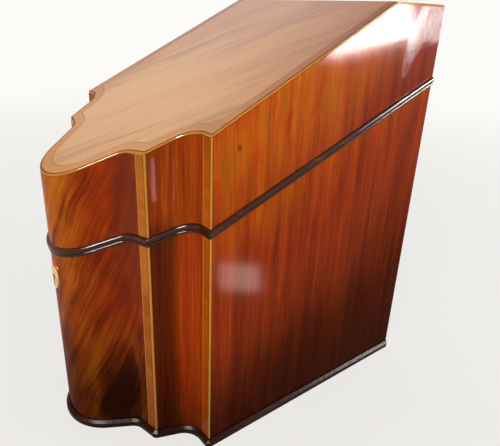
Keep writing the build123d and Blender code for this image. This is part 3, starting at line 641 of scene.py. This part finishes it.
class KNIFEBOX_OT_lay_banding(bpy.types.Operator):
    """Finish the crossbanding and the boxwood stringing"""
    bl_idname = "knife_box.lay_banding"
    bl_label = "Lay Banding"

    def execute(self, context):
        woods, fittings = settings(context).woods, settings(context).fittings
        apply(front_band_polish(woods), "front_crossbanding", "lid_front_crossbanding")
        apply(top_band_polish(woods), "lid_top_crossbanding")
        arrises = [(HALF_WIDTH, CORNER_FRONT), INNER_ARRIS]
        strings = ("outer_stringing", "inner_stringing",
                   "lid_outer_stringing", "lid_inner_stringing")
        apply(string_polish(woods, fittings, arrises), *strings)
        apply(string_polish(woods, fittings, None),
              "front_lines", "lid_front_lines", "lid_top_line")
        apply(string_polish(woods, fittings, None, 1.5), "lid_top_string")
        soften(fittings.edge_round, *strings)
        soften(fittings.top_round, "lid_top_string")
        return {"FINISHED"}


class KNIFEBOX_OT_lay_dark_line(bpy.types.Operator):
    """Let a dark line into the string round the top of the lid"""
    bl_idname = "knife_box.lay_dark_line"
    bl_label = "Lay Dark Line"

    def execute(self, context):
        woods, fittings = settings(context).woods, settings(context).fittings
        shape = bmesh.new()
        shape.from_mesh(NODES["lid_top_string"].data)
        bmesh.ops.remove_doubles(shape, verts=shape.verts, dist=WELD)
        shape.normal_update()
        sides = [face for face in shape.faces if face.normal.z < 0.5]
        bmesh.ops.delete(shape, geom=sides, context="FACES")
        rim = bmesh.ops.inset_region(shape, faces=shape.faces[:], thickness=fittings.line_inset,
                                     use_boundary=True, use_even_offset=True)
        bmesh.ops.delete(shape, geom=rim["faces"], context="FACES")
        bmesh.ops.translate(shape, verts=shape.verts, vec=(0, 0, -fittings.line_depth))
        raised = bmesh.ops.extrude_face_region(shape, geom=shape.faces[:])["geom"]
        bmesh.ops.translate(shape, verts=[v for v in raised if isinstance(v, bmesh.types.BMVert)],
                            vec=(0, 0, fittings.line_depth + fittings.line_proud))
        bmesh.ops.recalc_face_normals(shape, faces=shape.faces)
        if not shape.faces:
            raise RuntimeError("the string round the top gave no dark line")
        mesh = bpy.data.meshes.new("lid_top_dark_line")
        shape.to_mesh(mesh)
        shape.free()
        finish = Finish("ebony_line")
        tone = finish.noise(finish.x / 0.01, finish.y / 0.01, finish.z / 0.01)
        base = finish.mix(tone * 0.4, woods.ebony, FADED_EBONY)
        mesh.materials.append(finish.finish_with(base, 0.3, Coat_Weight=GLOSSY, **POLISH))
        line = bpy.data.objects.new("lid_top_dark_line", mesh)
        context.scene.collection.objects.link(line)
        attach(line, "lid")
        return {"FINISHED"}


class KNIFEBOX_OT_stain_mouldings(bpy.types.Operator):
    """Stain the base moulding and the two beads along the shut line"""
    bl_idname = "knife_box.stain_mouldings"
    bl_label = "Stain Mouldings"

    def execute(self, context):
        woods = settings(context).woods
        apply(bead_polish(woods, "stained_bead", 1.27), "lid_bead", "rim_bead")
        apply(bead_polish(woods, "stained_moulding", 1.12), "base_moulding_front",
              "base_moulding_left", "base_moulding_right")
        return {"FINISHED"}


class KNIFEBOX_OT_finish_carcase(bpy.types.Operator):
    """Finish the plain woods: back, grounds, floor, cleats and the fitted slope"""
    bl_idname = "knife_box.finish_carcase"
    bl_label = "Finish Carcase"

    def execute(self, context):
        woods = settings(context).woods
        back = Vector(woods.plain_back)
        stained = plain_wood("stained_back", tuple(back * 0.6), tuple(back * 1.35), "Z",
                             ribbon=0.03, roughness=0.42, coat=0.25)
        apply(stained, "back_board", "lid_back_board")
        pine = Vector(woods.pine)
        streaks = tuple(pine * 0.72), tuple(pine * 1.1)
        apply(plain_wood("pine_ground", *streaks, "Y"), "bottom_board", "front_core",
              "lid_front_core", "lid_top_board", "lid_rear_board", "side_cleats")
        apply(plain_wood("pine_cleat", *streaks, "X"), "back_cleat", "front_cleat")
        slope = plain_wood("slope_mahogany", woods.red_dark, SLOPE_LIGHT, "X",
                           ribbon=0.018, roughness=0.34, coat=0.6)
        apply(slope, *(f"slope_board_{number + 1}" for number in range(SLOPE_BOARDS)))
        return {"FINISHED"}


class KNIFEBOX_OT_dress_fittings(bpy.types.Operator):
    """Dress the brass and iron fittings and the baize on the floor"""
    bl_idname = "knife_box.dress_fittings"
    bl_label = "Dress Fittings"

    def execute(self, context):
        fittings = settings(context).fittings
        finish = Finish("old_brass")
        x, y, z = finish.x, finish.y, finish.z
        patina = finish.noise(x / 0.006, y / 0.006, z / 0.006, 4.0, 0.6)
        base = finish.mix(finish.step(patina, 0.46, 0.80), fittings.brass, fittings.tarnish)
        brass = finish.finish_with(base, 0.20 + 0.35 * finish.step(patina, 0.4, 0.8),
                                   0.06 * patina, BRASS_RELIEF, Metallic=1.0)
        apply(brass, "escutcheon", "escutcheon_pins", "lock_case", "lock_cover", "key_post",
              "link_plate", "left_hinge_body_leaf", "right_hinge_body_leaf",
              "left_hinge_lid_leaf", "right_hinge_lid_leaf")
        soften(ESCUTCHEON_ROUND, "escutcheon")
        finish = Finish("worn_iron")
        x, y, z = finish.x, finish.y, finish.z
        wear = finish.noise(x / 0.003, y / 0.003, z / 0.003, 4.0, 0.6)
        base = finish.mix(finish.step(wear, 0.45, 0.75), fittings.iron, RUST)
        iron = finish.finish_with(base, 0.28 + 0.3 * wear, Metallic=1.0)
        apply(iron, "hinge_pins", "hinge_body_screws", "hinge_lid_screws", "lock_screws",
              "link_screws", "lock_bolt", "lock_spring")
        finish = Finish("green_baize")
        x, y, z = finish.x, finish.y, finish.z
        nap = finish.noise(x / 0.0009, y / 0.0009, z / 0.0009, 3.0, 0.7)
        worn = finish.noise(x / 0.03, y / 0.03, 0.0)
        base = finish.shade_by(tuple(fittings.baize), 0.55 + 0.6 * nap + 0.4 * worn)
        cloth = finish.finish_with(base, 0.95, nap, BAIZE_RELIEF, Sheen_Weight=0.35,
                                   Sheen_Roughness=0.5)
        apply(cloth, "floor_baize")
        return {"FINISHED"}


# ---- Studio ----------------------------------------------------------------------------------
def lamp(context, name, place, target, size, watts, tint, roll=0.0, only_glints=False):
    """A soft rectangular lamp that looks at a target, turned about its line of sight.

    With only_glints it shows in reflections and lights nothing else.
    """
    data = bpy.data.lights.new(name, "AREA")
    data.shape = "RECTANGLE"
    data.size, data.size_y = size
    data.energy = watts
    data.color = tint
    made = bpy.data.objects.new(name, data)
    context.scene.collection.objects.link(made)
    aim = (Vector(target) - Vector(place)).to_track_quat("-Z", "Y")
    made.matrix_world = (Matrix.Translation(place) @ aim.to_matrix().to_4x4()
                         @ Matrix.Rotation(math.radians(roll), 4, "Z"))
    made.visible_camera = False
    made.visible_diffuse = not only_glints
    return made


def keep_off(made, *names):
    """Keep a lamp's light off the named pieces."""
    spared = bpy.data.collections.new(made.name + "_spared")
    for name in names:
        spared.objects.link(NODES[name])
    for entry in spared.collection_objects:
        entry.light_linking.link_state = "EXCLUDE"
    made.light_linking.receiver_collection = spared


def toward(origin, heading, climb, distance):
    """The point at a distance from the origin; heading is counted from +X towards +Y, degrees."""
    heading, climb = math.radians(heading), math.radians(climb)
    step = Vector((math.cos(climb) * math.cos(heading), math.cos(climb) * math.sin(heading),
                   math.sin(climb)))
    return Vector(origin) + distance * step


class KNIFEBOX_OT_set_stage(bpy.types.Operator):
    """Set up the pale floor, the surroundings, the soft lamps and the camera"""
    bl_idname = "knife_box.set_stage"
    bl_label = "Set Stage"

    def execute(self, context):
        studio = settings(context).studio
        self.lay_floor(context, studio)
        self.light_surroundings(context, studio)
        self.hang_lamps(context, studio)
        self.place_camera(context, studio)
        context.scene.view_settings.view_transform = "Standard"
        return {"FINISHED"}

    def lay_floor(self, context, studio):
        shape = bmesh.new()
        bmesh.ops.create_circle(shape, cap_ends=True, radius=FLOOR_RADIUS,
                                segments=FLOOR_SEGMENTS)
        mesh = bpy.data.meshes.new("floor")
        shape.to_mesh(mesh)
        shape.free()
        mesh.materials.append(self.floor_paint(studio))
        floor = bpy.data.objects.new("floor", mesh)
        context.scene.collection.objects.link(floor)

    def floor_paint(self, studio):
        """Pale paint near the box that fades into the brightness of the surroundings."""
        finish = Finish("pale_floor")
        paint = finish.node("ShaderNodeBsdfDiffuse", inputs={"Color": opaque(studio.floor)})
        glow = finish.node("ShaderNodeEmission", inputs={
            "Color": opaque(studio.surroundings), "Strength": studio.background})
        path = finish.node("ShaderNodeLightPath").socket.node
        seen = finish.node("ShaderNodeMath", {"operation": "MAXIMUM"}, {
            0: Shade(finish, path.outputs["Is Camera Ray"]),
            1: Shade(finish, path.outputs["Is Glossy Ray"])})
        away = (finish.x ** 2.0 + finish.y ** 2.0) ** 0.5
        fade = seen * (0.70 + 0.30 * finish.step(away, FLOOR_NEAR, FLOOR_FAR))
        shader = finish.node("ShaderNodeMixShader", inputs={0: fade, 1: paint, 2: glow})
        finish.node_output(shader)
        return finish.material

    def light_surroundings(self, context, studio):
        world = bpy.data.worlds.new("surroundings")
        context.scene.world = world
        world.use_nodes = True
        tree = world.node_tree
        background = tree.nodes["Background"]
        path = tree.nodes.new("ShaderNodeLightPath")
        seen = tree.nodes.new("ShaderNodeMath")
        seen.operation = "MAXIMUM"
        tree.links.new(path.outputs["Is Camera Ray"], seen.inputs[0])
        tree.links.new(path.outputs["Is Glossy Ray"], seen.inputs[1])
        level = tree.nodes.new("ShaderNodeMapRange")
        tree.links.new(seen.outputs[0], level.inputs["Value"])
        level.inputs["To Min"].default_value = studio.ambient
        level.inputs["To Max"].default_value = studio.background
        tree.links.new(level.outputs["Result"], background.inputs["Strength"])
        background.inputs["Color"].default_value = opaque(studio.surroundings)

    def hang_lamps(self, context, studio):
        lid_middle = (0.0, -0.05, 0.31)
        high_side = (HALF_WIDTH, 0.03, 0.335)
        low_side = (HALF_WIDTH, -0.096, 0.170)
        bow = (0.03, -0.19, 0.19)
        cove = (0.073, -0.152, 0.242)
        window_size, window_roll = (0.38, 0.27), 18.0
        lamp(context, "sheen_lamp", toward(lid_middle, 163, 32, 1.3), lid_middle, (1.15, 0.50),
             studio.sheen, SHEEN_WHITE)
        lamp(context, "window_lamp", toward(high_side, 50.0, 0.8, 2.0), high_side, window_size,
             studio.window, NEUTRAL, window_roll)
        window = lamp(context, "window_glints", toward(high_side, 50.0, 0.8, 1.98), high_side,
                      window_size, 0.6 * studio.window, NEUTRAL, window_roll, only_glints=True)
        lamp(context, "key_lamp", toward(bow, -60, 27, 1.9), bow, (0.60, 0.36), studio.key,
             WARM_WHITE)
        lamp(context, "bow_glints", toward(bow, -60, 30, 1.9), bow, (0.85, 0.80), studio.glints,
             SOFT_WHITE, only_glints=True)
        side = lamp(context, "side_glints", toward(high_side, 50, 13, 2.0), high_side, (0.46, 0.40),
                    0.36 * studio.glints, SOFT_WHITE, only_glints=True)
        for made in (window, side):
            keep_off(made, "lid_top_veneer", "lid_top_crossbanding", "lid_rear_veneer")
        lamp(context, "low_card", toward(low_side, 38.0, -30.9, 0.30), low_side, (0.055, 0.036),
             studio.card, ROSE, only_glints=True)
        lamp(context, "strip", toward(cove, -14.6, -18.2, 0.35), cove, (0.0050, 0.060),
             studio.strip, COLD_WHITE)

    def place_camera(self, context, studio):
        heading, pitch, roll = studio.heading, studio.pitch, studio.roll
        ahead = Vector((-math.sin(heading) * math.cos(pitch), math.cos(heading) * math.cos(pitch),
                        -math.sin(pitch)))
        level_right = ahead.cross(Vector((0, 0, 1))).normalized()
        level_up = level_right.cross(ahead)
        right = level_right * math.cos(roll) + level_up * math.sin(roll)
        up = level_up * math.cos(roll) - level_right * math.sin(roll)
        turn = Matrix((right, up, -ahead)).transposed().to_4x4()
        data = bpy.data.cameras.new("camera")
        data.sensor_fit = "HORIZONTAL"
        data.sensor_width = SENSOR_WIDTH
        data.lens = studio.lens
        data.clip_start = 0.01
        camera = bpy.data.objects.new("camera", data)
        context.scene.collection.objects.link(camera)
        camera.matrix_world = Matrix.Translation(studio.camera_place) @ turn
        context.scene.camera = camera


STEPS = (
    KNIFEBOX_OT_polish_sides,
    KNIFEBOX_OT_polish_front,
    KNIFEBOX_OT_polish_top,
    KNIFEBOX_OT_lay_banding,
    KNIFEBOX_OT_lay_dark_line,
    KNIFEBOX_OT_stain_mouldings,
    KNIFEBOX_OT_finish_carcase,
    KNIFEBOX_OT_dress_fittings,
    KNIFEBOX_OT_set_stage,
)


class KNIFEBOX_PT_panel(bpy.types.Panel):
    """Steps and settings of the knife box"""
    bl_idname = "KNIFEBOX_PT_panel"
    bl_label = "Knife Box"
    bl_space_type = "VIEW_3D"
    bl_region_type = "UI"
    bl_category = "Knife Box"

    def draw(self, context):
        for group in ("woods", "fittings", "studio"):
            values = getattr(settings(context), group)
            column = self.layout.box().column(align=True)
            for name in values.__annotations__:
                column.prop(values, name)
        for step in STEPS:
            self.layout.operator(step.bl_idname)


CLASSES = (KnifeBoxWoods, KnifeBoxFittings, KnifeBoxStudio, KnifeBoxSettings, *STEPS,
           KNIFEBOX_PT_panel)


def register():
    for kind in CLASSES:
        bpy.utils.register_class(kind)
    bpy.types.Scene.knife_box = PointerProperty(type=KnifeBoxSettings)


def unregister():
    del bpy.types.Scene.knife_box
    for kind in reversed(CLASSES):
        bpy.utils.unregister_class(kind)


def main():
    register()
    for step in STEPS:
        getattr(bpy.ops.knife_box, step.bl_idname.split(".")[1])()


if __name__ == "__main__":
    main()
